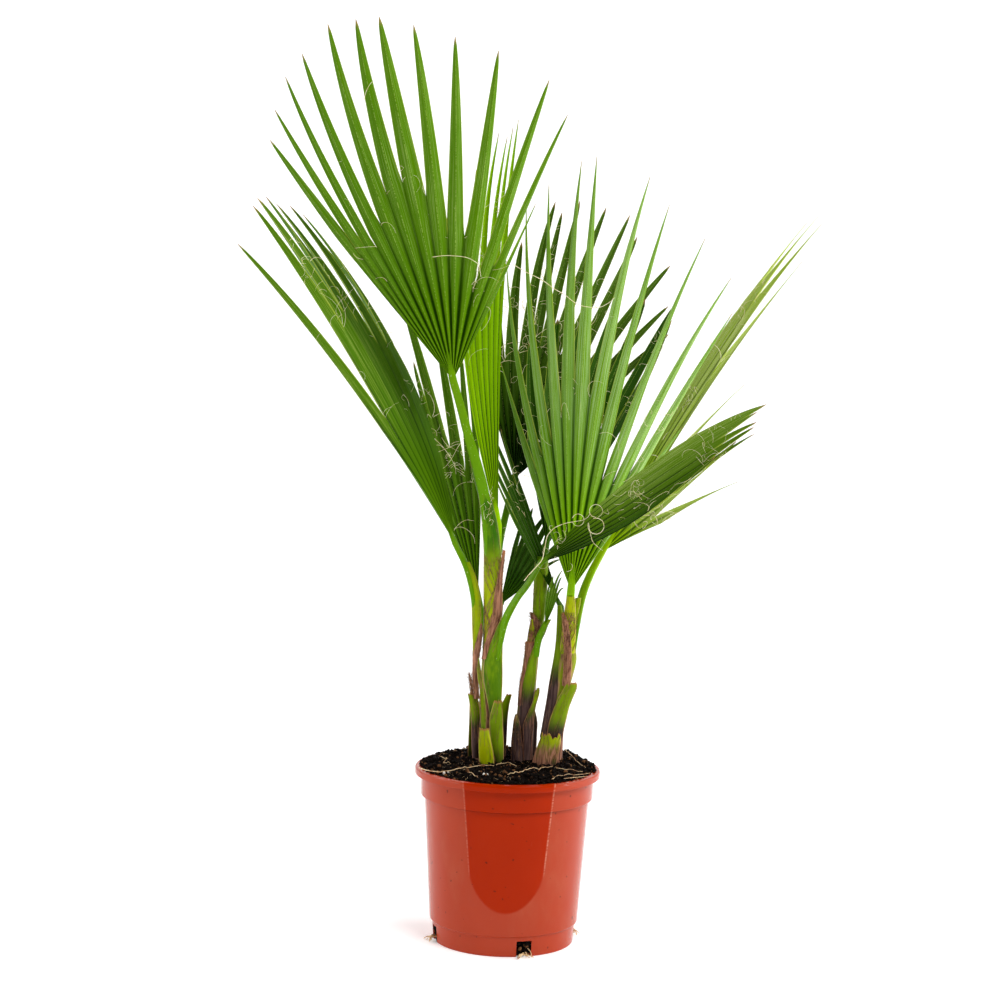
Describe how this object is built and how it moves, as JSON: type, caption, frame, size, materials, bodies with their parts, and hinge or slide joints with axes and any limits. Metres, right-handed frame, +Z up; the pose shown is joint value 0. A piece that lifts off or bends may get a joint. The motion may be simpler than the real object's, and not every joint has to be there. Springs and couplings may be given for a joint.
{
  "type": "potted fan palm",
  "caption": "Young fan palm with pleated, split fan leaves on long stalks, growing from tapering stems of leaf bases in a round, flared plastic nursery pot filled with soil.",
  "frame": {"origin": "centre of the pot's underside, on the surface the pot stands on", "axes": "+Z up along the pot's axis; -Y is the front, which the picture looks at; +X is to the right in that view"},
  "size_m": [0.5871, 0.3426, 0.9276],
  "materials": {
    "pot": "terracotta-coloured moulded plastic with a soft gloss and faint scuffs",
    "soil": "moist dark peat with crumbs and fine roots",
    "stem": "overlapping green leaf bases, purple-brown low down, edged with brown fibre",
    "leaf": "mid green, waxy, with a soft sheen",
    "leaf_bright": "yellow-green, waxy, with a soft sheen",
    "leaf_dark": "dark green, waxy, with a soft sheen"
  },
  "bodies": {
    "root": {"pot": "pot", "soil": "soil", "stem_left": "stem", "stem_middle": "stem", "stem_right": "stem", "frond_tall_left": "leaf", "frond_low_left": "leaf", "frond_rear_left": "leaf", "frond_spear": "leaf_bright", "frond_dark_rear": "leaf_dark", "frond_arching": "leaf_dark", "frond_low_rear": "leaf_dark", "frond_middle_rear": "leaf_dark", "frond_small": "leaf", "frond_inner_right": "leaf_dark", "frond_front_right": "leaf_bright", "frond_far_right": "leaf_bright"}
  },
  "joints": []
}
